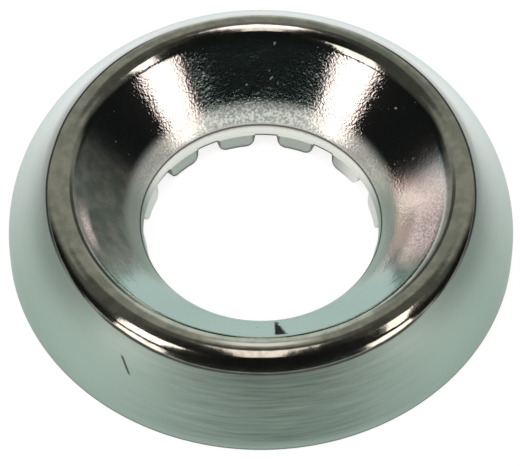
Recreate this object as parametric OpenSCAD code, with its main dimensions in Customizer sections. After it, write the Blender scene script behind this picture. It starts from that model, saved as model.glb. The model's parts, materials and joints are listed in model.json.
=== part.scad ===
// Finishing cup washer, pressed from one round blank of thin sheet.
// The outside stands as a domed skirt, the sheet turns over at a rounded crest,
// runs down as a countersunk cone and bends into a short toothed collar round the screw hole.
// Origin: middle of the base. +Z points up, out of the cup. Millimetres.

/* [Sheet] */
// Thickness of the sheet
sheet_t = 0.45; // [0.3:0.01:0.5]
// Height of the crest above the base
height = 2.95; // [2.5:0.05:3.6]

/* [Screw hole] */
// Diameter of the screw hole, inside the collar
hole_d = 7; // [6:0.05:9]
// Height of the plain band of collar above the teeth
collar_band = 0.1; // [0.06:0.01:0.2]

/* [Teeth] */
// Number of teeth on the collar's lower edge
tooth_count = 12; // [6:1:14]
// Width of one tooth
tooth_w = 1.12; // [0.8:0.02:1.3]
// Height of the teeth
tooth_h = 0.42; // [0.35:0.01:0.6]
// Radius of a tooth's lower corners
tooth_corner_r = 0.28; // [0.05:0.01:0.3]
// Lean of the teeth in towards the axis, in degrees from upright
tooth_lean = 12; // [4:1:18]
// Height of the tooth tips above the base
tooth_clear = 0.02; // [0.01:0.01:0.1]

/* [Cup] */
// Included angle of the countersunk cone, in degrees
cone_angle = 90; // [82:1:100]
// Radius of the gentle curve from the cone into the throat
throat_r = 2.5; // [1.5:0.1:3]
// Lean of the sheet, from lying flat, where the throat meets the lip, in degrees
throat_lean = 57; // [52:1:62]
// Radius of the lip's bend, on the upper side of the sheet
lip_r = 0.6; // [0.52:0.02:0.8]

/* [Crest and skirt] */
// Radius of the crest's bend, on the outside of the sheet
crest_r = 0.8; // [0.6:0.05:1]
// Width of the skirt, from the middle of the crest out to the base
skirt_w = 1.565; // [1.3:0.005:2]
// Height of the straight foot of the skirt, below its dome
foot_h = 0.5; // [0.1:0.05:0.8]

/* [Hidden] */
$fn = 180;
// Largest turn between two points along a bend, in degrees
bend_step = 5;
// How far a cut runs past the sheet on each side
cut_over = 0.3;

hole_r = hole_d / 2;
tooth_root_z = tooth_clear + tooth_h;

function polar(r, angle) = r * [cos(angle), sin(angle)];

// Every angle below is the direction in which the show face looks, in the plane of the section:
// 0 is straight out from the axis, 90 is up and 180 is in towards the axis.
out_face = 0;
up_face = 90;
cone_face = 180 - cone_angle / 2;
lip_face = 90 + throat_lean;
in_face = 180;

// The lip's bend ends upright at the top of the collar, and the throat runs smoothly into it.
lip_c = [hole_r + lip_r, tooth_root_z + collar_band];
throat_c = lip_c - polar(throat_r - lip_r, lip_face);

// The cone leaves the throat smoothly and runs up to the crest, so it sets how far out the crest lies.
cone_normal = polar(1, cone_face);
cone_reach = cone_normal * throat_c + throat_r;
crest_z = height - crest_r;
crest_c = [(cone_reach - crest_r - cone_normal.y * crest_z) / cone_normal.x, crest_z];

// The dome is the arc that leaves the foot upright and runs smoothly into the crest.
base_r = crest_c.x + skirt_w;
dome_rise = crest_c.y - foot_h;
dome_r = (skirt_w ^ 2 + dome_rise ^ 2 - crest_r ^ 2) / (2 * (skirt_w - crest_r));
dome_c = [base_r - dome_r, foot_h];
crest_face = atan2(dome_rise, crest_c.x - dome_c.x);

// Points along a bend about centre c; first = 1 leaves out the point that the bend before it ends on
function bend(c, r, from, to, first = 0) =
    let (steps = ceil(abs(to - from) / bend_step))
    [for (i = [first : steps]) c + polar(r, from + (to - from) * i / steps)];

// The collar below its bend: upright down to the crease at the root of the teeth, then leaning in
function collar_face(depth) =
    let (crease_z = tooth_root_z - depth * tan(tooth_lean / 2))
    [
        [hole_r + depth, crease_z],
        [hole_r + depth - (crease_z - tooth_clear) * tan(tooth_lean), tooth_clear]
    ];

// One face of the sheet from the foot to the collar's edge, at a depth below the show face
function sheet_face(depth) = concat(
    [[base_r - depth, 0]],
    bend(dome_c, dome_r - depth, out_face, crest_face),
    bend(crest_c, crest_r - depth, crest_face, up_face, 1),
    bend(crest_c, crest_r - depth, up_face, cone_face, 1),
    bend(throat_c, throat_r - depth, cone_face, lip_face),
    bend(lip_c, lip_r - depth, lip_face, in_face, 1),
    collar_face(depth)
);

function backwards(points) = [for (i = [len(points) - 1 : -1 : 0]) points[i]];

// Half of the washer's section, to the right of the axis
module section() {
    polygon(concat(sheet_face(0), backwards(sheet_face(sheet_t))));
}

// One tooth seen from the axis: straight sides and rounded lower corners
module tooth_shape() {
    corner_x = tooth_w / 2 - tooth_corner_r;
    corner_z = tooth_clear + tooth_corner_r;
    translate([-tooth_w / 2, corner_z])
        square([tooth_w, tooth_root_z + cut_over]);
    translate([-corner_x, tooth_clear - cut_over])
        square([2 * corner_x, tooth_corner_r + 2 * cut_over]);
    for (side = [-1, 1])
        translate([side * corner_x, corner_z])
            circle(tooth_corner_r);
}

// What is punched out of the collar's lower edge, leaving the teeth
module tooth_gaps() {
    from_r = hole_r - tooth_h * tan(tooth_lean) - cut_over;
    wall = hole_r + sheet_t + cut_over - from_r;
    difference() {
        rotate_extrude()
            translate([from_r, -cut_over])
                square([wall, tooth_root_z + cut_over]);
        for (i = [0 : tooth_count - 1])
            rotate(i * 360 / tooth_count)
                translate([from_r - cut_over, 0, 0])
                    rotate([90, 0, 90])
                        linear_extrude(wall + 2 * cut_over)
                            tooth_shape();
    }
}

module cup_washer() {
    color([0.72, 0.74, 0.71])
        difference() {
            rotate_extrude()
                section();
            tooth_gaps();
        }
}

cup_washer();
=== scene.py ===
"""Finishing cup washer: pressed sheet with a nickel plate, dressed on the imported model, in metres."""
import json
import math
from functools import reduce
from types import SimpleNamespace

import bpy
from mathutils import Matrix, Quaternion, Vector


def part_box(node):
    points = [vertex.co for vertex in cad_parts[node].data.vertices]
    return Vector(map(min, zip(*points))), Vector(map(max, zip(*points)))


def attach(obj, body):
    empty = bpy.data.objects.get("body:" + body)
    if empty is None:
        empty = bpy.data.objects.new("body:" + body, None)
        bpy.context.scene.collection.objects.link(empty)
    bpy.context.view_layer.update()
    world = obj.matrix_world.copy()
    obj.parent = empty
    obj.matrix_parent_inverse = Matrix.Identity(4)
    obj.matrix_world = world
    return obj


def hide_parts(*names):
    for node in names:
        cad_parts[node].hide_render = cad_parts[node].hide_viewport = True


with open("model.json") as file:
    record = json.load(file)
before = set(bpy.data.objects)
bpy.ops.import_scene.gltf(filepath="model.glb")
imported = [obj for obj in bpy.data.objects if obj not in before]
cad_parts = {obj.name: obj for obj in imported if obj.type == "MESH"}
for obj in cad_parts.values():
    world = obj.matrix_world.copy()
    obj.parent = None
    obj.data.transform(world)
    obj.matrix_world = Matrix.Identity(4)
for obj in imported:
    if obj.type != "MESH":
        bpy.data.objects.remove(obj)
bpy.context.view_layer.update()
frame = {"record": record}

MM = 0.001

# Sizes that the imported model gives
_, washer_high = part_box("cup_washer")
hole_mount = next(m for m in frame["record"]["mounts"] if m["name"] == "screw_hole")
BASE_R = washer_high.x
HEIGHT = washer_high.z
HOLE_R = hole_mount["dims"]["r_mm"] * MM
BAND_H = hole_mount["dims"]["length_mm"] * MM
LIP_Z = hole_mount["pos_m"][2] + BAND_H / 2
TOOTH_ROOT_Z = LIP_Z - BAND_H

# Sizes of the pressing; leans are in degrees
SHEET_T = 0.45 * MM
FOOT_H = 0.5 * MM
EDGE_R = 0.06 * MM
CREST_R = 0.8 * MM
CONE_LEAN = 45
THROAT_R = 2.5 * MM
THROAT_LEAN = 57
LIP_R = 0.6 * MM
TOOTH_COUNT = 12
TOOTH_W = 1.12 * MM
TOOTH_CORNER_R = 0.28 * MM
TOOTH_LEAN = 12
TOOTH_CLEAR = 0.02 * MM
TOOTH_H = TOOTH_ROOT_Z - TOOTH_CLEAR

# Columns of the mesh round the axis, and rows along each stretch of the section
COLUMNS = 480
EDGE_ROWS = 3
DOME_ROWS = 18
CREST_ROWS = 24
CONE_ROWS = 8
THROAT_ROWS = 8
LIP_ROWS = 12
TOOTH_ROWS = 6
# Keeps the division of a point's number by the rows in a column from rounding down
ROUNDING_GUARD = 0.0001
MERGE_DISTANCE = 1e-7
SHARP_ANGLE = math.radians(40)

# The photograph's camera: azimuth about the axis, elevation, distance and scale
IMAGE_W, IMAGE_H = 520, 466
CAMERA_AZIMUTH = -12.5
CAMERA_ELEVATION = 54.55
CAMERA_DISTANCE = 0.1
PIXELS_PER_M = 33440
ORIGIN_PX = (260.43, 236.7)
SENSOR_W = 36
CLIP_START = 0.005
CLIP_END = 20


class Field:
    """A node's output that takes part in plain arithmetic: each operation adds a Math node."""

    def __init__(self, output):
        self.output = output
        self.tree = output.id_data

    def math(self, operation, *others):
        return node(self.tree, "ShaderNodeMath", {"operation": operation}, (self, *others))

    def __add__(self, other):
        return self.math("ADD", other)

    def __radd__(self, other):
        return self.math("ADD", other)

    def __sub__(self, other):
        return self.math("SUBTRACT", other)

    def __rsub__(self, other):
        return node(self.tree, "ShaderNodeMath", {"operation": "SUBTRACT"}, (other, self))

    def __mul__(self, other):
        return self.math("MULTIPLY", other)

    def __rmul__(self, other):
        return self.math("MULTIPLY", other)

    def __truediv__(self, other):
        return self.math("DIVIDE", other)

    def __rtruediv__(self, other):
        return node(self.tree, "ShaderNodeMath", {"operation": "DIVIDE"}, (other, self))

    def __abs__(self):
        return self.math("ABSOLUTE")

    def at_most(self, other):
        return self.math("MINIMUM", other)

    def at_least(self, other):
        return self.math("MAXIMUM", other)

    def rise(self, low, high):
        """0 up to low, 1 from high, and a smooth step between; low may be the larger one."""
        settings = {"interpolation_type": "SMOOTHSTEP"}
        sockets = {"Value": self, "From Min": low, "From Max": high}
        return node(self.tree, "ShaderNodeMapRange", settings, sockets)

    def within(self, low, high, soft):
        """1 between low and high, with soft edges."""
        return self.rise(low - soft, low + soft) * self.rise(high + soft, high - soft)


def node(tree, kind, settings=None, sockets=None, out=0):
    """Adds a node: its settings first, then the values or links of its sockets. Gives one output."""
    made = tree.nodes.new(kind)
    for name, value in (settings or {}).items():
        setattr(made, name, value)
    given = sockets or {}
    pairs = given.items() if isinstance(given, dict) else enumerate(given)
    for key, value in pairs:
        if isinstance(value, Field):
            tree.links.new(value.output, made.inputs[key])
        else:
            made.inputs[key].default_value = value
    return Field(made.outputs[out]) if made.outputs else None


# The section of the washer

def polar(radius, angle):
    """A step of that length in the section's plane; angle 0 points out from the axis and 90 up."""
    return Vector((radius * math.cos(math.radians(angle)), radius * math.sin(math.radians(angle))))


# Directions in which the show face looks, in degrees
DOWN_FACE = -90
OUT_FACE = 0
UP_FACE = 90
IN_FACE = 180
LIP_FACE = UP_FACE + THROAT_LEAN
CONE_FACE = UP_FACE + CONE_LEAN

lip_c = Vector((HOLE_R + LIP_R, LIP_Z))
throat_c = lip_c - polar(THROAT_R - LIP_R, LIP_FACE)
cone_normal = polar(1, CONE_FACE)
cone_reach = cone_normal.dot(throat_c) + THROAT_R
crest_z = HEIGHT - CREST_R
crest_c = Vector(((cone_reach - CREST_R - cone_normal.y * crest_z) / cone_normal.x, crest_z))
skirt_w = BASE_R - crest_c.x
dome_rise = crest_z - FOOT_H
dome_r = (skirt_w ** 2 + dome_rise ** 2 - CREST_R ** 2) / (2 * (skirt_w - CREST_R))
dome_c = Vector((BASE_R - dome_r, FOOT_H))
CREST_FACE = math.degrees(math.atan2(dome_rise, crest_c.x - dome_c.x))


def bend(centre, radius, start, end, steps):
    """Points along a bend of the sheet, both ends included."""
    return [centre + polar(radius, start + (end - start) * i / steps) for i in range(steps + 1)]


def sheet_face(depth):
    """The named stretches of one face of the sheet, from the foot to the top of the collar."""
    cone_top = crest_c + polar(CREST_R - depth, CONE_FACE)
    cone_foot = throat_c + polar(THROAT_R - depth, CONE_FACE)
    return {
        "foot": [Vector((BASE_R - depth, EDGE_R)), Vector((BASE_R - depth, FOOT_H / 2))],
        "dome": bend(dome_c, dome_r - depth, OUT_FACE, CREST_FACE, DOME_ROWS),
        "crest": bend(crest_c, CREST_R - depth, CREST_FACE, CONE_FACE, CREST_ROWS)[1:],
        "cone": [cone_top.lerp(cone_foot, i / CONE_ROWS) for i in range(1, CONE_ROWS + 1)],
        "throat": bend(throat_c, THROAT_R - depth, CONE_FACE, LIP_FACE, THROAT_ROWS)[1:],
        "lip": bend(lip_c, LIP_R - depth, LIP_FACE, IN_FACE, LIP_ROWS)[1:],
    }


def washer_section():
    """Rows of the section as (r, z, run, under, tooth), and the run at the end of each stretch.

    run is the way along the show face from the foot, under is 1 on the hidden face, and tooth goes from 0
    at the root of a tooth to 1 at its tip.
    """
    rows = []
    ends = {}
    run = 0
    last = None
    for point in bend(Vector((BASE_R - EDGE_R, EDGE_R)), EDGE_R, DOWN_FACE, OUT_FACE, EDGE_ROWS)[:-1]:
        rows.append((point.x, point.y, 0, 0, 0))
    for name, points in sheet_face(0).items():
        for point in points:
            run += (point - last).length if last else 0
            last = point
            rows.append((point.x, point.y, run, 0, 0))
        ends[name] = run
    steps = [i / TOOTH_ROWS for i in range(TOOTH_ROWS + 1)]
    for share in steps:
        rows.append((HOLE_R, TOOTH_ROOT_Z, run + BAND_H + share * TOOTH_H, 0, share))
    for share in reversed(steps):
        rows.append((HOLE_R + SHEET_T, TOOTH_ROOT_Z, run + BAND_H + share * TOOTH_H, 1, share))
    hidden = [point for points in sheet_face(SHEET_T).values() for point in points]
    for point in reversed(hidden):
        rows.append((point.x, point.y, 0, 1, 0))
    inner_edge_c = Vector((BASE_R - SHEET_T + EDGE_R, EDGE_R))
    for point in bend(inner_edge_c, EDGE_R, IN_FACE, DOWN_FACE + 360, EDGE_ROWS)[1:]:
        rows.append((point.x, point.y, 0, 1, 0))
    return rows, ends


def section_object(rows):
    """The section as loose points in the XZ plane, with its rows' values as attributes."""
    mesh = bpy.data.meshes.new("section")
    mesh.from_pydata([(row[0], 0, row[1]) for row in rows], [], [])
    for column, name in enumerate(("run", "under", "tooth"), start=2):
        values = mesh.attributes.new(name, "FLOAT", "POINT")
        values.data.foreach_set("value", [row[column] for row in rows])
    piece = bpy.data.objects.new("section", mesh)
    bpy.context.scene.collection.objects.link(piece)
    return piece


# The washer's mesh

def lathe_tree():
    """Geometry nodes that turn a section about the axis and shape the collar's teeth."""
    tree = bpy.data.node_groups.new("turned_washer", "GeometryNodeTree")
    tree.interface.new_socket("Geometry", in_out="OUTPUT", socket_type="NodeSocketGeometry")
    inputs = {
        "Section": "NodeSocketObject",
        "Rows": "NodeSocketInt",
        "Columns": "NodeSocketInt",
        "Hole radius": "NodeSocketFloat",
        "Sheet thickness": "NodeSocketFloat",
        "Tooth count": "NodeSocketInt",
        "Tooth width": "NodeSocketFloat",
        "Tooth height": "NodeSocketFloat",
        "Tooth corner": "NodeSocketFloat",
        "Tooth lean": "NodeSocketFloat",
        "Plate": "NodeSocketMaterial",
    }
    for name, kind in inputs.items():
        tree.interface.new_socket(name, in_out="INPUT", socket_type=kind)
    group = tree.nodes.new("NodeGroupInput")
    size = {name: Field(group.outputs[name]) for name in inputs}

    section = node(tree, "GeometryNodeObjectInfo", None, {"Object": size["Section"]}, "Geometry")
    # the first row comes again at the end, which closes the section
    row_count = size["Rows"] + 1
    grid_sizes = {"Vertices X": size["Columns"] + 1, "Vertices Y": row_count}
    grid = node(tree, "GeometryNodeMeshGrid", None, grid_sizes, "Mesh")
    index = node(tree, "GeometryNodeInputIndex")
    column = (index / row_count + ROUNDING_GUARD).math("FLOOR")
    row = (index - column * row_count).math("MODULO", size["Rows"])
    angle = column * (2 * math.pi) / size["Columns"]

    def row_value(name):
        number = {"data_type": "FLOAT"}
        read = node(tree, "GeometryNodeInputNamedAttribute", number, {"Name": name}, "Attribute")
        sockets = {"Geometry": section, "Value": read, "Index": row}
        return node(tree, "GeometryNodeSampleIndex", number, sockets)

    place = node(tree, "GeometryNodeInputPosition")
    sampled = {"Geometry": section, "Value": place, "Index": row}
    spot = node(tree, "GeometryNodeSampleIndex", {"data_type": "FLOAT_VECTOR"}, sampled)
    section_r = node(tree, "ShaderNodeSeparateXYZ", None, (spot,), "X")
    section_z = node(tree, "ShaderNodeSeparateXYZ", None, (spot,), "Z")

    # how much of a tooth's height is left at this angle:
    # all at its middle, less at its round corners, none in a gap
    pitch = 2 * math.pi / size["Tooth count"]
    turn = (angle + pitch / 2).math("MODULO", pitch) - pitch / 2
    across = abs(turn.math("SINE") * size["Hole radius"])
    half = size["Tooth width"] / 2
    corner = size["Tooth corner"]
    in_corner = (across - (half - corner)).at_least(0).at_most(corner)
    lost = corner - (corner * corner - in_corner * in_corner).at_least(0).math("SQRT")
    kept = (1 - lost / size["Tooth height"]) * across.math("LESS_THAN", half)

    tooth = row_value("tooth")
    under = row_value("under")
    drop = tooth * kept * size["Tooth height"]
    crease = size["Sheet thickness"] * (size["Tooth lean"] / 2).math("TANGENT") * under
    lean_in = (drop - crease).at_least(0) * size["Tooth lean"].math("TANGENT")
    radius = section_r - lean_in
    position = {
        "X": radius * angle.math("COSINE"),
        "Y": radius * angle.math("SINE"),
        "Z": section_z - drop,
    }
    shaped = node(tree, "ShaderNodeCombineXYZ", None, position)
    mesh = node(tree, "GeometryNodeSetPosition", None, {"Geometry": grid, "Position": shaped})
    # distance to a tooth's outline
    rim = (half - across).at_most((1 - tooth) * kept * size["Tooth height"])
    stored = {"run": row_value("run"), "under": under, "rim": rim}
    for name, value in stored.items():
        settings = {"data_type": "FLOAT", "domain": "POINT"}
        sockets = {"Geometry": mesh, "Name": name, "Value": value}
        mesh = node(tree, "GeometryNodeStoreNamedAttribute", settings, sockets)
    mesh = node(tree, "GeometryNodeMergeByDistance", None, {"Geometry": mesh, "Distance": MERGE_DISTANCE})
    fold = node(tree, "GeometryNodeInputMeshEdgeAngle", None, None, "Unsigned Angle")
    smooth = {"FACE": True, "EDGE": fold.math("LESS_THAN", SHARP_ANGLE)}
    for domain, soft in smooth.items():
        sockets = {"Geometry": mesh, "Shade Smooth": soft}
        mesh = node(tree, "GeometryNodeSetShadeSmooth", {"domain": domain}, sockets)
    mesh = node(tree, "GeometryNodeRealizeInstances", None, {"Geometry": mesh})
    mesh = node(tree, "GeometryNodeSetMaterial", None, {"Geometry": mesh, "Material": size["Plate"]})
    node(tree, "NodeGroupOutput", None, (mesh,))
    return tree


def turned_washer(rows, plate):
    """The washer as one plain mesh, made by the tree above."""
    section = section_object(rows)
    carrier = bpy.data.objects.new("washer_carrier", bpy.data.meshes.new("washer_carrier"))
    bpy.context.scene.collection.objects.link(carrier)
    tree = lathe_tree()
    modifier = carrier.modifiers.new("turned_washer", "NODES")
    modifier.node_group = tree
    values = {
        "Section": section,
        "Rows": len(rows),
        "Columns": COLUMNS,
        "Hole radius": HOLE_R,
        "Sheet thickness": SHEET_T,
        "Tooth count": TOOTH_COUNT,
        "Tooth width": TOOTH_W,
        "Tooth height": TOOTH_H,
        "Tooth corner": TOOTH_CORNER_R,
        "Tooth lean": math.radians(TOOTH_LEAN),
        "Plate": plate,
    }
    for item in tree.interface.items_tree:
        if item.in_out == "INPUT":
            modifier[item.identifier] = values[item.name]
    bpy.context.view_layer.update()
    depsgraph = bpy.context.evaluated_depsgraph_get()
    mesh = bpy.data.meshes.new_from_object(carrier.evaluated_get(depsgraph), depsgraph=depsgraph)
    mesh.name = "nickel_washer"
    carrier.modifiers.remove(modifier)
    bpy.data.objects.remove(carrier)
    bpy.data.objects.remove(section)
    washer = bpy.data.objects.new("nickel_washer", mesh)
    bpy.context.scene.collection.objects.link(washer)
    return washer


# Directions about the washer, as the photograph sees it

def direction(azimuth, elevation):
    """Unit vector from the washer; azimuth 0 points to the camera's side and 90 to the picture's right."""
    a = math.radians(azimuth + CAMERA_AZIMUTH)
    e = math.radians(elevation)
    return Vector((math.sin(a) * math.cos(e), -math.cos(a) * math.cos(e), math.sin(e)))


# Small helpers for materials

# The Mix node's sockets for colours go by number, because those for numbers have the same names
MIX_SHARE, MIX_FIRST, MIX_SECOND, MIX_RESULT = 0, 6, 7, 2
NOISE_MEAN = 0.5


def new_material(name):
    """An empty node material and its tree."""
    material = bpy.data.materials.new(name)
    material.use_nodes = True
    material.node_tree.nodes.clear()
    return material, material.node_tree


def mix_colour(tree, share, first, second):
    """Colour mix; share 0 gives the first colour."""
    settings = {"data_type": "RGBA", "blend_type": "MIX", "clamp_factor": True}
    sockets = {MIX_SHARE: share, MIX_FIRST: first, MIX_SECOND: second}
    return node(tree, "ShaderNodeMix", settings, sockets, MIX_RESULT)


def layered(tree, colour, layers):
    """Colours laid over each other in turn, each as (share, colour)."""
    for share, over in layers:
        colour = mix_colour(tree, share, colour, over)
    return colour


def noise(tree, vector, scale, detail):
    """Cloudy values about NOISE_MEAN."""
    return node(tree, "ShaderNodeTexNoise", None, {"Vector": vector, "Scale": scale, "Detail": detail})


def dot(tree, first, second):
    """Dot product of two vectors."""
    return node(tree, "ShaderNodeVectorMath", {"operation": "DOT_PRODUCT"}, (first, second), "Value")


def attribute(tree, name):
    """A value that the washer's mesh carries."""
    return node(tree, "ShaderNodeAttribute", {"attribute_name": name}, None, "Fac")


# The nickel plate

CREST_COLOUR = (0.52, 0.57, 0.48, 1)
# colour of the crest's mottling, and of the painted shade on the crest and the left flank
MOTTLE_AND_SHADE_COLOUR = (0.19, 0.23, 0.20, 1)
CUP_COLOUR = (0.40, 0.53, 0.49, 1)
# painted reflection: a warm tint for the flanks and the lamps' streaks in the cup
WARM_REFLECTION_COLOUR = (0.64, 0.54, 0.52, 1)
# painted highlight: the pale pinkish colour of patches on the flanks
HIGHLIGHT_PATCH_COLOUR = (0.97, 0.83, 0.79, 1)
THROAT_COLOUR = (0.90, 0.95, 0.87, 1)
# colour of the grain in the throat, and of the painted shade on its sides
GRAIN_AND_SHADE_COLOUR = (0.36, 0.44, 0.39, 1)
# painted shade: the darker colour of the far teeth
FAR_TOOTH_SHADE_COLOUR = (0.44, 0.51, 0.45, 1)
PALE_TOOTH_COLOUR = (0.85, 0.88, 0.85, 1)
SKIRT_COLOUR = (0.37, 0.49, 0.43, 1)
# painted reflection: the pale colour of the back of the skirt
BACK_REFLECTION_COLOUR = (0.93, 0.97, 0.96, 1)
# painted shade: the dark colour of the front of the skirt
FRONT_SHADE_COLOUR = (0.105, 0.145, 0.115, 1)
HIDDEN_COLOUR = (0.40, 0.43, 0.40, 1)
# colour of the fleck and the scratch, and of the painted shade of the dark lines
STAIN_AND_SHADE_COLOUR = (0.012, 0.016, 0.015, 1)
GRAZING_TINT = (0.62, 0.70, 0.68, 1)
GRAZING_LEVEL = 0.1

# Textures of the plate: cells per metre, and the number of finer layers in them
GRAIN_NOISE = (13000, 2)
SPECK_NOISE = (7000, 1)
MOTTLE_NOISE = (2600, 4)
RIPPLE_NOISE = (1100, 2)
CLOUD_NOISE = (450, 4)
# Drawing lines: cells per metre up the skirt and per radian round it
LINE_CELLS_UP = 12000
LINE_CELLS_ROUND = 5
LINE_NOISE = (1, 3)
# Values of a texture between which an effect of it comes in
MOTTLE_STEP = (0.35, 0.65)
SPECK_STEP = (0.72, 0.77)
SPECK_GROUPS = (0.45, 0.6)
WARM_STEP = (0.3, 0.6)
PATCH_STEP = (0.4, 0.6)
RING_STEP = (0.42, 0.58)

# Turns are in degrees from the front of the washer, and faces are the lean of the show face.
# Two values are where a zone starts and where it is whole; three are its start, its end and their softness.
CRISP = 0.02 * MM

# The skirt, below the edge of the polish, which lies higher at the back; a painted reflection makes its back
# pale and painted shade makes its front dark
POLISH_FRONT_FACE = 45
POLISH_BACK_FACE = 72
POLISH_CLIMB_TURN = (10, 112)
POLISH_WANDER = 0.06 * MM
# where the back of the skirt takes its painted reflection
PALE_BACK_TURN = (60, 132)
# painted shade on the front of the skirt, broken up by the drawing lines
FRONT_MIDDLE = 4
FRONT_TURN = (46, 2)
FRONT_RUN = (-0.1 * MM, 0.6 * MM)
# painted shade: a thin dark line at the foot, where the washer meets the floor
FOOT_LINE_RUN = (0.08 * MM, 0.02 * MM)

# Painted shade: dark lines along the edge of the polish, a thin one at the sides and a broader one at the
# front
EDGE_LINE_HALF = 0.04 * MM
EDGE_LINE_TURN = (60, 150, 15)
LOW_LINE_W = 0.08 * MM
LOW_LINE_TURN = (55, 40)

# The crest: a stretch at the right of the back darkened with painted shade, painted highlights on the inner
# edges at the front and the back, and a dark line of painted shade inside both sides, which lies nearer the
# top on the right
CREST_SHADE_TURN = (114, 166, 10)
CREST_SHADE_FACES = (78, 88)
# painted highlights: the light inner edges of the crest
GLINT_FIRST_FACE = 94
GLINT_LAST_FACE = 103
GLINT_TURN = (21.8, 2.9)
FAR_GLINT_LAST_FACE = 107
FAR_GLINT_TURN = (158, 172)
GLINT_SOFT = 0.04 * MM
# painted shade: the dark line inside the crest
INNER_LINE_FACE = 119
INNER_LINE_SHIFT = 0.1 * MM
INNER_LINE_HALF = (0.08 * MM, 0.04 * MM)
INNER_LINE_TURN = (40, 98, 14)

# The cup, by the way past the end of the crest
CUP_RUN = (-0.22 * MM, -0.02 * MM)
# the flanks and the streaks in the cup take a painted warm tint of reflections
FLANK_TURN = (60, 112, 14)
STREAK_TURN = (124, 160, 9)
# painted highlights: patches on the right and left flanks, which also take metal away
RIGHT_HIGHLIGHT_TURN = (61, 95, 9)
RIGHT_HIGHLIGHT_RUN = (-0.05 * MM, 1.2 * MM, 0.25 * MM)
LEFT_HIGHLIGHT_TURN = (-80, -66, 7)
LEFT_HIGHLIGHT_RUN = (-0.02 * MM, 0.35 * MM, 0.12 * MM)

# The throat, by the way past the end of the cone, and what ends at the lip, by the way past the throat
THROAT_RUN = (-0.35 * MM, 0.1 * MM)
GRAINY_RUN = (-0.65 * MM, -0.15 * MM)
GRAINY_END_RUN = (0.35 * MM, -0.15 * MM)
ABOVE_LIP_RUN = (-0.01 * MM, -0.1 * MM)
# painted shade: a dark line in the crease at the lip
LIP_LINE_RUN = (-0.01 * MM, 0.06 * MM, 0.02 * MM)
RING_TURN = (45, 85)
# painted shade: the throat ring is darker at its sides and at its front
RING_SIDE_SHADE_TURN = (25, 60)
RING_SIDE_SHADE_END_TURN = (125, 95)
RING_FRONT_SHADE_TURN = (60, 30)
RING_FAR_TURN = (140, 168)

# The teeth: the far ones are darkened with painted shade and outlined in it, and start further back on the
# right
FAR_TOOTH_TURN = (112, 128)
FAR_TOOTH_SHIFT = 13.75
TOOTH_OUTLINE = (0.09 * MM, 0.03 * MM)

# The dark fleck beside the hole, a ragged wedge that widens up the cone, right of the washer's middle
FLECK_LEFT = 0.4 * MM
FLECK_LEFT_RAGGED = 0.14 * MM
FLECK_RIGHT = 0.45 * MM
FLECK_RIGHT_RAGGED = 0.4 * MM
FLECK_WIDENING = 0.3 * MM
FLECK_CLIMB = (0.03, 0.95, 0.05)

# The short scratch on the skirt, which leans to the left as it climbs
SCRATCH_FACE = 31.6
SCRATCH_ASIDE = -3.84 * MM
SCRATCH_LEAN = 0.1 * MM
SCRATCH_HALF_LENGTH = 0.21 * MM
SCRATCH_HALF = (0.06 * MM, 0.01 * MM)
SCRATCH_REACH = (-1, 1, 0.2)

# How far some layers of colour cover what is under them, and what a texture adds to that
MOTTLE_SHARE = 0.4
CREST_SHADE_SHARE = 0.55
STREAK_SHARE = 0.45
# how far painted shade darkens the left flank
LEFT_FLANK_SHARE = 0.72
LEFT_FLANK_MOTTLE_SHARE = 0.28
PATCH_SHARE = 0.6
PATCH_GRAIN_SHARE = 0.4
RING_SHARE = 0.35
FAR_RING_SHARE = 0.5
FRONT_SHARE = 0.7
FRONT_LINE_SHARE = 0.85

# How dark each line and mark is: the fleck and the scratch are marks on the plate, the lines are painted
# shade
DARK_SHARES = {
    "edge_line": 0.95,
    "low_line": 0.85,
    "inner_line": 0.9,
    "foot_line": 0.3,
    "lip_line": 0.8,
    "tooth_outline": 0.45,
    "fleck": 1,
    "scratch": 0.75,
}

# What each zone adds to the polish's roughness
POLISH_ROUGHNESS = 0.1
ADDED_ROUGHNESS = {
    "skirt": 0.36,
    "pale_skirt": -0.12,
    "cup": -0.02,
    "flank": 0.06,
    "left_flank": 0.2,
    "throat": 0.16,
    "tooth": 0.08,
    "under": 0.35,
    "specks": 0.4,
    "dark": 0.7,
}
CLOUD_ROUGHNESS = 0.08
LINE_ROUGHNESS = 0.1
ROUGHNESS_LIMITS = (0.04, 0.9)

# What each zone adds to the plate's metallic look, or takes from it
ADDED_METAL = {"skirt": -0.35, "pale_skirt": 0.3, "ring": -0.45, "highlight_patch": -0.8, "glint": -0.75}

# Relief: the grain's height, what each zone adds to it, and the height of the ripples and drawing lines
BUMP_DEPTH = 0.004 * MM
GRAIN_RELIEF = 0.15
ADDED_GRAIN_RELIEF = {"cup": 0.45, "streaks": 0.5, "left_flank": 0.6, "grainy": 0.9}
RIPPLE_RELIEF = 2.2
LINE_RELIEF = 0.4


def outer_run(face, ends):
    """Way along the show face at which the skirt or the crest leans that much."""
    if face < CREST_FACE:
        return ends["dome"] - dome_r * math.radians(CREST_FACE - face)
    return ends["dome"] + CREST_R * math.radians(face - CREST_FACE)


def plate_place(tree):
    """Where a spot of the plate lies: along the section, round the axis and to the side of it."""
    place = node(tree, "ShaderNodeTexCoord", None, None, "Object")
    ahead = dot(tree, place, direction(0, 0))
    aside = dot(tree, place, direction(90, 0))
    turn = aside.math("ARCTAN2", ahead).math("DEGREES")
    under = attribute(tree, "under")
    return SimpleNamespace(
        place=place,
        run=attribute(tree, "run"),
        rim=attribute(tree, "rim"),
        under=under,
        show=1 - under,
        aside=aside,
        turn=turn,
        swing=abs(turn),
        on_right=turn.math("GREATER_THAN", 0),
        on_left=turn.math("LESS_THAN", 0),
        on_front=ahead.math("GREATER_THAN", 0),
    )


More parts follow.
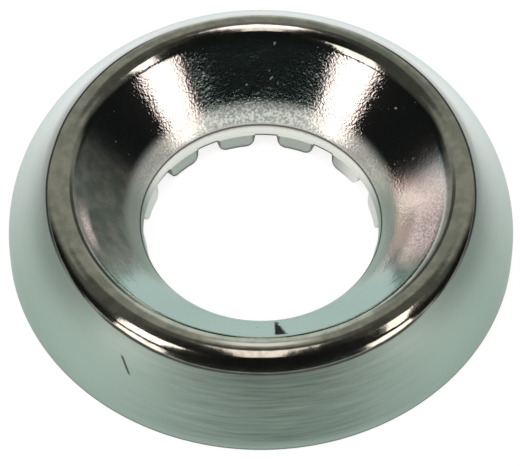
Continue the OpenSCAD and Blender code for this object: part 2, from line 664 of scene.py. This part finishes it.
def plate_textures(tree, at):
    """What breaks the finish up: grain, ripples, clouds, mottling, specks and drawing lines."""
    level = node(tree, "ShaderNodeVectorMath", {"operation": "MULTIPLY"}, (at.place, (1, 1, 0)))
    outward = node(tree, "ShaderNodeVectorMath", {"operation": "NORMALIZE"}, (level,))
    scaled = {"Vector": outward, "Scale": LINE_CELLS_ROUND}
    around = node(tree, "ShaderNodeVectorMath", {"operation": "SCALE"}, scaled)
    upward = node(tree, "ShaderNodeCombineXYZ", None, {"Z": at.run * LINE_CELLS_UP})
    drawn = node(tree, "ShaderNodeVectorMath", {"operation": "ADD"}, (around, upward))
    ripple = noise(tree, at.place, *RIPPLE_NOISE)
    return SimpleNamespace(
        grain=noise(tree, at.place, *GRAIN_NOISE),
        ripple=ripple,
        cloud=noise(tree, at.place, *CLOUD_NOISE),
        mottle=noise(tree, at.place, *MOTTLE_NOISE).rise(*MOTTLE_STEP),
        specks=noise(tree, at.place, *SPECK_NOISE).rise(*SPECK_STEP) * ripple.rise(*SPECK_GROUPS),
        lines=noise(tree, drawn, *LINE_NOISE),
    )


def plate_zones(at, texture, ends):
    """Zones of the finish, of painted shade and of painted highlights, each 1 where it lies and 0 elsewhere.
    """
    run, turn, swing = at.run, at.turn, at.swing
    low_edge = outer_run(POLISH_FRONT_FACE, ends)
    high_edge = outer_run(POLISH_BACK_FACE, ends)
    polish_edge = low_edge + (high_edge - low_edge) * swing.rise(*POLISH_CLIMB_TURN)
    past_edge = run - (polish_edge + (texture.cloud - NOISE_MEAN) * POLISH_WANDER)
    past_inner_line = run - outer_run(INNER_LINE_FACE, ends) + at.on_right * INNER_LINE_SHIFT
    past_crest = run - ends["crest"]
    past_cone = run - ends["cone"]
    past_throat = run - ends["throat"]
    past_collar = run - (ends["lip"] + BAND_H)

    def light_edge(last_face):
        return run.within(outer_run(GLINT_FIRST_FACE, ends), outer_run(last_face, ends), GLINT_SOFT)

    zone = {
        # foot_line: painted shade at the foot
        "foot_line": run.rise(*FOOT_LINE_RUN),
        "skirt": past_edge.rise(CRISP, -CRISP),
        # edge_line and low_line: painted shade along the edge of the polish
        "edge_line": past_edge.within(-EDGE_LINE_HALF, EDGE_LINE_HALF, CRISP) * swing.within(*EDGE_LINE_TURN),
        "low_line": past_edge.within(0, LOW_LINE_W, CRISP) * swing.rise(*LOW_LINE_TURN),
        # glint and far_glint: painted highlights on the crest's inner edges; the front one also takes metal
        # away
        "glint": light_edge(GLINT_LAST_FACE) * swing.rise(*GLINT_TURN),
        "far_glint": light_edge(FAR_GLINT_LAST_FACE) * swing.rise(*FAR_GLINT_TURN),
        # inner_line: painted shade inside the crest
        "inner_line": abs(past_inner_line).rise(*INNER_LINE_HALF) * swing.within(*INNER_LINE_TURN),
        "cup": past_crest.rise(*CUP_RUN),
        "right_highlight": past_crest.within(*RIGHT_HIGHLIGHT_RUN) * turn.within(*RIGHT_HIGHLIGHT_TURN),
        "left_highlight": past_crest.within(*LEFT_HIGHLIGHT_RUN) * turn.within(*LEFT_HIGHLIGHT_TURN),
        "throat": past_cone.rise(*THROAT_RUN),
        "grainy": past_cone.rise(*GRAINY_RUN) * past_throat.rise(*GRAINY_END_RUN),
        "above_lip": past_throat.rise(*ABOVE_LIP_RUN),
        # lip_line: painted shade in the crease at the lip
        "lip_line": past_throat.within(*LIP_LINE_RUN),
        "tooth": past_collar.rise(-CRISP, CRISP),
    }
    zone = {name: mask * at.show for name, mask in zone.items()}

    # zones within those, and the hidden face
    # dull_crest: painted shade on the crest at the right of the back
    crest_start, crest_whole = (outer_run(face, ends) for face in CREST_SHADE_FACES)
    zone["dull_crest"] = turn.within(*CREST_SHADE_TURN) * run.rise(crest_start, crest_whole)
    zone["back"] = swing.rise(*PALE_BACK_TURN)
    zone["pale_skirt"] = zone["skirt"] * zone["back"]
    # front: painted shade on the front of the skirt
    zone["front"] = zone["skirt"] * abs(turn - FRONT_MIDDLE).rise(*FRONT_TURN) * run.rise(*FRONT_RUN)
    zone["flank"] = zone["cup"] * swing.within(*FLANK_TURN)
    # left_flank: where painted shade darkens the cup
    zone["left_flank"] = zone["flank"] * at.on_left
    zone["streaks"] = zone["cup"] * swing.within(*STREAK_TURN)
    zone["specks"] = zone["cup"] * texture.specks
    # painted highlights on the flanks
    highlight_share = PATCH_SHARE + PATCH_GRAIN_SHARE * texture.grain.rise(*PATCH_STEP)
    zone["highlight_patch"] = zone["right_highlight"].at_least(zone["left_highlight"]) * highlight_share
    zone["ring"] = zone["throat"] * swing.rise(*RING_TURN)
    zone["far_tooth"] = (swing - FAR_TOOTH_SHIFT * at.on_right).rise(*FAR_TOOTH_TURN)
    # tooth_outline: painted shade round the far teeth
    zone["tooth_outline"] = zone["tooth"] * zone["far_tooth"] * at.rim.rise(*TOOTH_OUTLINE)
    zone["under"] = at.under
    return zone


def plate_marks(at, texture, ends):
    """Dark marks on the plate: the fleck beside the hole and the short scratch on the skirt."""
    near = at.on_front * at.show
    ragged = texture.grain - NOISE_MEAN
    up_cone = (ends["cone"] - at.run) / (ends["cone"] - ends["crest"])
    left = FLECK_LEFT + ragged * FLECK_LEFT_RAGGED
    right = FLECK_RIGHT + ragged * FLECK_RIGHT_RAGGED + up_cone * FLECK_WIDENING
    fleck = (at.aside - left).rise(-CRISP, CRISP) * (right - at.aside).rise(-CRISP, CRISP)
    along = (at.run - outer_run(SCRATCH_FACE, ends)) / SCRATCH_HALF_LENGTH
    off_scratch = abs(at.aside - SCRATCH_ASIDE + along * SCRATCH_LEAN)
    return {
        "fleck": fleck * up_cone.within(*FLECK_CLIMB) * near,
        "scratch": off_scratch.rise(*SCRATCH_HALF) * along.within(*SCRATCH_REACH) * near,
    }


def plate_colour(tree, at, texture, zone):
    """Colour of the plate, laid on zone by zone; some layers are painted shade, painted highlights and
    painted reflections.
    """
    swing = at.swing
    ring_share = RING_SHARE + FAR_RING_SHARE * swing.rise(*RING_FAR_TURN)
    ring_grain = zone["above_lip"] * texture.grain.rise(*RING_STEP) * ring_share
    # painted shade on the sides and the front of the throat ring
    ring_side_shade = swing.rise(*RING_SIDE_SHADE_TURN) * swing.rise(*RING_SIDE_SHADE_END_TURN)
    ring_colour = layered(tree, THROAT_COLOUR, (
        (ring_grain, GRAIN_AND_SHADE_COLOUR),
        (ring_side_shade, GRAIN_AND_SHADE_COLOUR),
        (swing.rise(*RING_FRONT_SHADE_TURN), CUP_COLOUR),
    ))
    # painted shade on the far teeth
    tooth_colour = mix_colour(tree, zone["far_tooth"], PALE_TOOTH_COLOUR, FAR_TOOTH_SHADE_COLOUR)
    # the back of the skirt takes a painted reflection
    skirt_colour = mix_colour(tree, zone["back"], SKIRT_COLOUR, BACK_REFLECTION_COLOUR)
    # painted warm tint of reflections on the flanks and the streaks
    warm_reflection = (zone["flank"] * texture.cloud.rise(*WARM_STEP)).at_least(STREAK_SHARE * zone["streaks"])
    left_share = LEFT_FLANK_SHARE + LEFT_FLANK_MOTTLE_SHARE * texture.mottle
    front_share = FRONT_SHARE + FRONT_LINE_SHARE * (texture.lines - NOISE_MEAN)
    return layered(tree, CREST_COLOUR, (
        (MOTTLE_SHARE * texture.mottle, MOTTLE_AND_SHADE_COLOUR),
        # painted shade on the crest at the right of the back
        (CREST_SHADE_SHARE * zone["dull_crest"], MOTTLE_AND_SHADE_COLOUR),
        (zone["cup"], CUP_COLOUR),
        (warm_reflection, WARM_REFLECTION_COLOUR),
        # painted shade: the left flank darkened, with mottling
        (zone["left_flank"] * left_share, MOTTLE_AND_SHADE_COLOUR),
        # painted highlights on the flanks
        (zone["highlight_patch"], HIGHLIGHT_PATCH_COLOUR),
        # painted highlights on the inner edges of the crest
        (zone["glint"].at_least(zone["far_glint"]), THROAT_COLOUR),
        (zone["throat"], ring_colour),
        (zone["tooth"], tooth_colour),
        (zone["skirt"], skirt_colour),
        # painted shade on the front of the skirt
        (zone["front"] * front_share, FRONT_SHADE_COLOUR),
        (zone["under"], HIDDEN_COLOUR),
        # the fleck and the scratch, and the painted shade of the dark lines
        (zone["dark"], STAIN_AND_SHADE_COLOUR),
    ))


def added_up(start, shares, zone):
    """A value with what each zone adds to it."""
    return start + reduce(Field.__add__, [share * zone[name] for name, share in shares.items()])


def nickel_plate(ends):
    """Nickel on pressed sheet: satin skirt with drawing lines, polished crest and cone, grainy throat."""
    material, tree = new_material("nickel_plate")
    at = plate_place(tree)
    texture = plate_textures(tree, at)
    zone = plate_zones(at, texture, ends) | plate_marks(at, texture, ends)
    zone["dark"] = reduce(Field.at_least, [share * zone[name] for name, share in DARK_SHARES.items()])

    line_roughness = LINE_ROUGHNESS * (texture.lines - NOISE_MEAN) * zone["skirt"]
    roughness = added_up(POLISH_ROUGHNESS, ADDED_ROUGHNESS, zone) + line_roughness
    roughness = roughness + CLOUD_ROUGHNESS * (texture.cloud - NOISE_MEAN)
    smoothest, roughest = ROUGHNESS_LIMITS

    grain_height = texture.grain * added_up(GRAIN_RELIEF, ADDED_GRAIN_RELIEF, zone)
    ripple_height = texture.ripple * (RIPPLE_RELIEF * (1 - zone["skirt"]))
    line_height = texture.lines * (LINE_RELIEF * zone["skirt"])
    height = grain_height + ripple_height + line_height
    bump = node(tree, "ShaderNodeBump", None, {"Strength": 1, "Distance": BUMP_DEPTH, "Height": height})

    shader = node(tree, "ShaderNodeBsdfPrincipled", None, {
        "Base Color": plate_colour(tree, at, texture, zone),
        "Metallic": added_up(1, ADDED_METAL, zone) * (1 - zone["dark"]),
        "Roughness": roughness.at_least(smoothest).at_most(roughest),
        "Specular IOR Level": GRAZING_LEVEL,
        "Specular Tint": GRAZING_TINT,
        "Normal": bump,
    })
    node(tree, "ShaderNodeOutputMaterial", None, {"Surface": shader})
    return material


# The studio

def photo_camera():
    """Camera at the photograph's place, aimed so that the washer's origin falls on its own pixel."""
    data = bpy.data.cameras.new("photo_camera")
    data.sensor_width = SENSOR_W
    data.lens = PIXELS_PER_M * CAMERA_DISTANCE / IMAGE_W * SENSOR_W
    data.clip_start = CLIP_START
    data.clip_end = CLIP_END
    camera = bpy.data.objects.new("photo_camera", data)
    bpy.context.scene.collection.objects.link(camera)
    back = direction(0, CAMERA_ELEVATION)
    right = direction(90, 0)
    up = back.cross(right)
    centre_px = ((IMAGE_W - 1) / 2, (IMAGE_H - 1) / 2)
    target = right * ((centre_px[0] - ORIGIN_PX[0]) / PIXELS_PER_M)
    target += up * ((ORIGIN_PX[1] - centre_px[1]) / PIXELS_PER_M)
    camera.location = back * CAMERA_DISTANCE
    camera.rotation_euler = (target - camera.location).to_track_quat("-Z", "Y").to_euler()
    bpy.context.scene.camera = camera


FLOOR_COLOUR = (0.36, 0.36, 0.36, 1)
FLOOR_GLOW = 0.8
FLOOR_HALF = 3
FLOOR_Z = -0.01 * MM


def seen_directly(tree):
    """1 for rays from the camera, or those mirrored or passed on by metal and glass."""
    path = tree.nodes.new("ShaderNodeLightPath")
    kinds = ("Is Camera Ray", "Is Glossy Ray", "Is Transmission Ray")
    return reduce(Field.at_least, [Field(path.outputs[name]) for name in kinds])


def pale_floor():
    """Plain pale floor that keeps the washer's shadow."""
    mesh = bpy.data.meshes.new("pale_floor")
    corners = ((-1, -1), (1, -1), (1, 1), (-1, 1))
    mesh.from_pydata([(x * FLOOR_HALF, y * FLOOR_HALF, FLOOR_Z) for x, y in corners], [], [(0, 1, 2, 3)])
    floor = bpy.data.objects.new("pale_floor", mesh)
    bpy.context.scene.collection.objects.link(floor)
    material, tree = new_material("pale_floor")
    paper = node(tree, "ShaderNodeBsdfDiffuse", None, {"Color": FLOOR_COLOUR})
    glow = node(tree, "ShaderNodeEmission", None, {"Strength": seen_directly(tree) * FLOOR_GLOW})
    both = node(tree, "ShaderNodeAddShader", None, (paper, glow))
    node(tree, "ShaderNodeOutputMaterial", None, {"Surface": both})
    mesh.materials.append(material)


CANOPY_R = 0.8
CANOPY_STEPS = 72
CANOPY_RINGS = 12
# Elevation of the canopy's lower rim at azimuths from the camera's side round to the back
CANOPY_RIM = ((0, 35), (40, 33), (70, 14), (85, 3), (180, 1))
CANOPY_BLACK = (0.012, 0.012, 0.012, 1)
CANOPY_DIM = (0.12, 0.11, 0.10, 1)
CANOPY_BROWN = (0.38, 0.35, 0.32, 1)
CANOPY_PALE = (0.85, 0.85, 0.85, 1)
# Turns from the back and elevations, in degrees, at which the cloth's lighter areas start and are whole
DIM_TURN, DIM_TOP, DIM_FOOT = (105, 80), (82, 66), (40, 52)
BROWN_TURN, BROWN_TOP = (66, 42), (59.5, 55.5)
PALE_TURN, PALE_TOP = (32, 12), (34, 18)
LOW_PALE_TURN, LOW_PALE_TOP = (75, 55), (16, 3)


def rim_elevation(azimuth):
    """Elevation of the canopy's lower rim at any azimuth; both sides are alike."""
    turn = abs((azimuth + 180) % 360 - 180)
    for (a0, e0), (a1, e1) in zip(CANOPY_RIM, CANOPY_RIM[1:]):
        if turn <= a1:
            return e0 + (e1 - e0) * (turn - a0) / (a1 - a0)
    return CANOPY_RIM[-1][1]


def canopy_cloth():
    """Cloth that gives off its own colour: black in front, brown-grey behind, pale near the floor there."""
    material, tree = new_material("dark_canopy")
    place = node(tree, "ShaderNodeTexCoord", None, None, "Object")
    back = dot(tree, place, direction(180, 0))
    aside = abs(dot(tree, place, direction(90, 0)))
    turn = aside.math("ARCTAN2", back).math("DEGREES")
    up = node(tree, "ShaderNodeSeparateXYZ", None, (place,), "Z") / CANOPY_R

    def climb(start, whole):
        return up.rise(math.sin(math.radians(start)), math.sin(math.radians(whole)))

    pale = turn.rise(*PALE_TURN) * climb(*PALE_TOP)
    low_pale = turn.rise(*LOW_PALE_TURN) * climb(*LOW_PALE_TOP)
    colour = layered(tree, CANOPY_BLACK, (
        (turn.rise(*DIM_TURN) * climb(*DIM_TOP) * climb(*DIM_FOOT), CANOPY_DIM),
        (turn.rise(*BROWN_TURN) * climb(*BROWN_TOP), CANOPY_BROWN),
        (pale.at_least(low_pale), CANOPY_PALE),
    ))
    cloth = node(tree, "ShaderNodeEmission", None, {"Color": colour})
    node(tree, "ShaderNodeOutputMaterial", None, {"Surface": cloth})
    return material


def dark_canopy():
    """Dark studio cloth overhead, which only mirrors see."""
    points = []
    faces = []
    for i in range(CANOPY_STEPS):
        azimuth = 360 * i / CANOPY_STEPS
        low = rim_elevation(azimuth)
        for j in range(CANOPY_RINGS + 1):
            points.append(direction(azimuth, low + (90 - low) * j / CANOPY_RINGS) * CANOPY_R)
    for i in range(CANOPY_STEPS):
        for j in range(CANOPY_RINGS):
            a = i * (CANOPY_RINGS + 1) + j
            b = ((i + 1) % CANOPY_STEPS) * (CANOPY_RINGS + 1) + j
            faces.append((a, b, b + 1, a + 1))
    mesh = bpy.data.meshes.new("dark_canopy")
    mesh.from_pydata(points, [], faces)
    mesh.materials.append(canopy_cloth())
    canopy = bpy.data.objects.new("dark_canopy", mesh)
    bpy.context.scene.collection.objects.link(canopy)
    canopy.visible_camera = False
    canopy.visible_diffuse = False
    canopy.visible_shadow = False


LAMP_DISTANCE = 0.4
LAMP_COLOUR = (1, 0.8, 0.78)


def soft_lamp(name, azimuth, elevation, width, height, radiance, roll=0):
    """Soft box facing the washer; its width, height and roll are angles, and a radiance of 1 looks white."""
    data = bpy.data.lights.new(name, "AREA")
    data.shape = "RECTANGLE"
    data.size = 2 * LAMP_DISTANCE * math.tan(math.radians(width / 2))
    data.size_y = 2 * LAMP_DISTANCE * math.tan(math.radians(height / 2))
    data.energy = radiance * math.pi * data.size * data.size_y
    data.color = LAMP_COLOUR
    lamp = bpy.data.objects.new(name, data)
    bpy.context.scene.collection.objects.link(lamp)
    lamp.location = direction(azimuth, elevation) * LAMP_DISTANCE
    facing = (-lamp.location).to_track_quat("-Z", "Y")
    lamp.rotation_euler = (facing @ Quaternion((0, 0, 1), math.radians(roll))).to_euler()
    lamp.visible_camera = False


def studio_lamps():
    """Broad soft boxes low at both sides, a narrower one above each, and a small one overhead."""
    soft_lamp("left_lamp", azimuth=-55, elevation=25, width=20, height=26, radiance=2.9)
    soft_lamp("right_lamp", azimuth=59, elevation=25, width=18, height=26, radiance=2.9)
    soft_lamp("high_left_lamp", azimuth=-64, elevation=55, width=16, height=21, radiance=3.6, roll=15)
    soft_lamp("high_right_lamp", azimuth=80, elevation=56, width=7, height=25, radiance=3, roll=-42)
    soft_lamp("top_lamp", azimuth=180, elevation=85, width=9, height=28, radiance=1.7)


WORLD_LIGHT = 0.7


def studio_world():
    """White surroundings, whose light on the washer is a little lower."""
    world = bpy.data.worlds.new("studio_world")
    bpy.context.scene.world = world
    world.use_nodes = True
    tree = world.node_tree
    tree.nodes.clear()
    strength = WORLD_LIGHT + (1 - WORLD_LIGHT) * seen_directly(tree)
    light = node(tree, "ShaderNodeBackground", None, {"Strength": strength})
    node(tree, "ShaderNodeOutputWorld", None, {"Surface": light})


rows, ends = washer_section()
plate = nickel_plate(ends)
washer = turned_washer(rows, plate)
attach(washer, "root")
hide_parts("cup_washer")

photo_camera()
pale_floor()
dark_canopy()
studio_world()
studio_lamps()
bpy.context.scene.view_settings.view_transform = "Standard"
